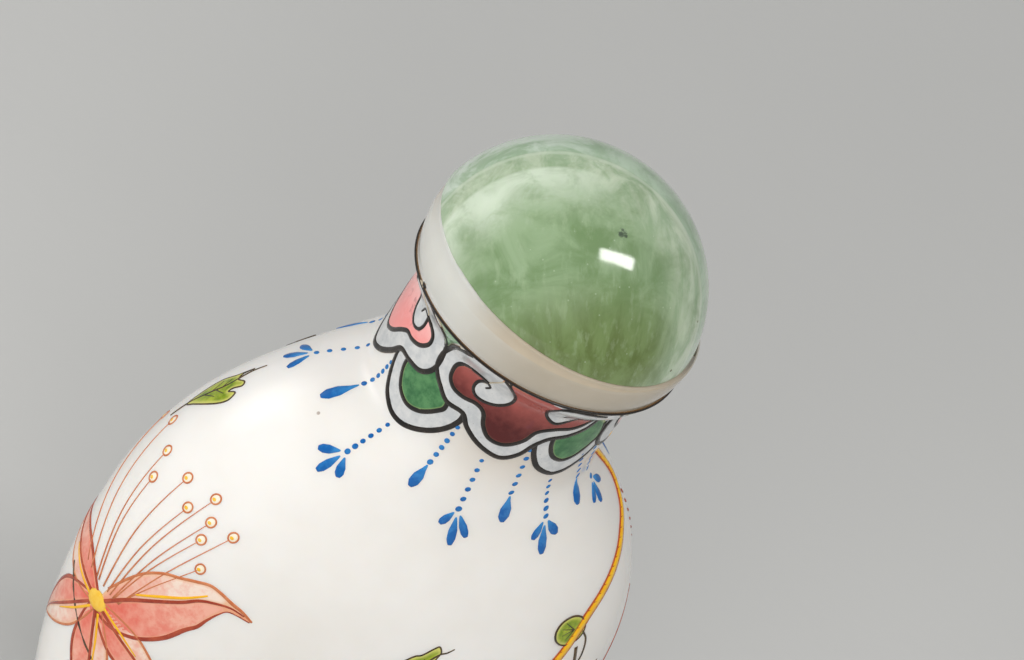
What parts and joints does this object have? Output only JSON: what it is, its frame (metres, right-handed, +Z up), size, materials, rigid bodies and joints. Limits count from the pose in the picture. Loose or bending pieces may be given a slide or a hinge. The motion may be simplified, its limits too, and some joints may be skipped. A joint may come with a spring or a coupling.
{
  "type": "snuff bottle",
  "caption": "Flattened egg-shaped white glass snuff bottle with painted enamel collar and flowers, rolled lip and a domed green jade stopper.",
  "frame": {"origin": "middle of the foot's underside", "axes": "+Z up through the neck, +X along the body's wide way, -Y out of the main painted face"},
  "size_m": [0.0338, 0.0202, 0.062],
  "materials": {
    "white_glass": "opaque milky white glass, polished, painted with enamels",
    "jade": "mottled translucent green jade, high polish"
  },
  "bodies": {
    "root": {"bottle": "white_glass", "stopper": "jade"}
  },
  "joints": []
}
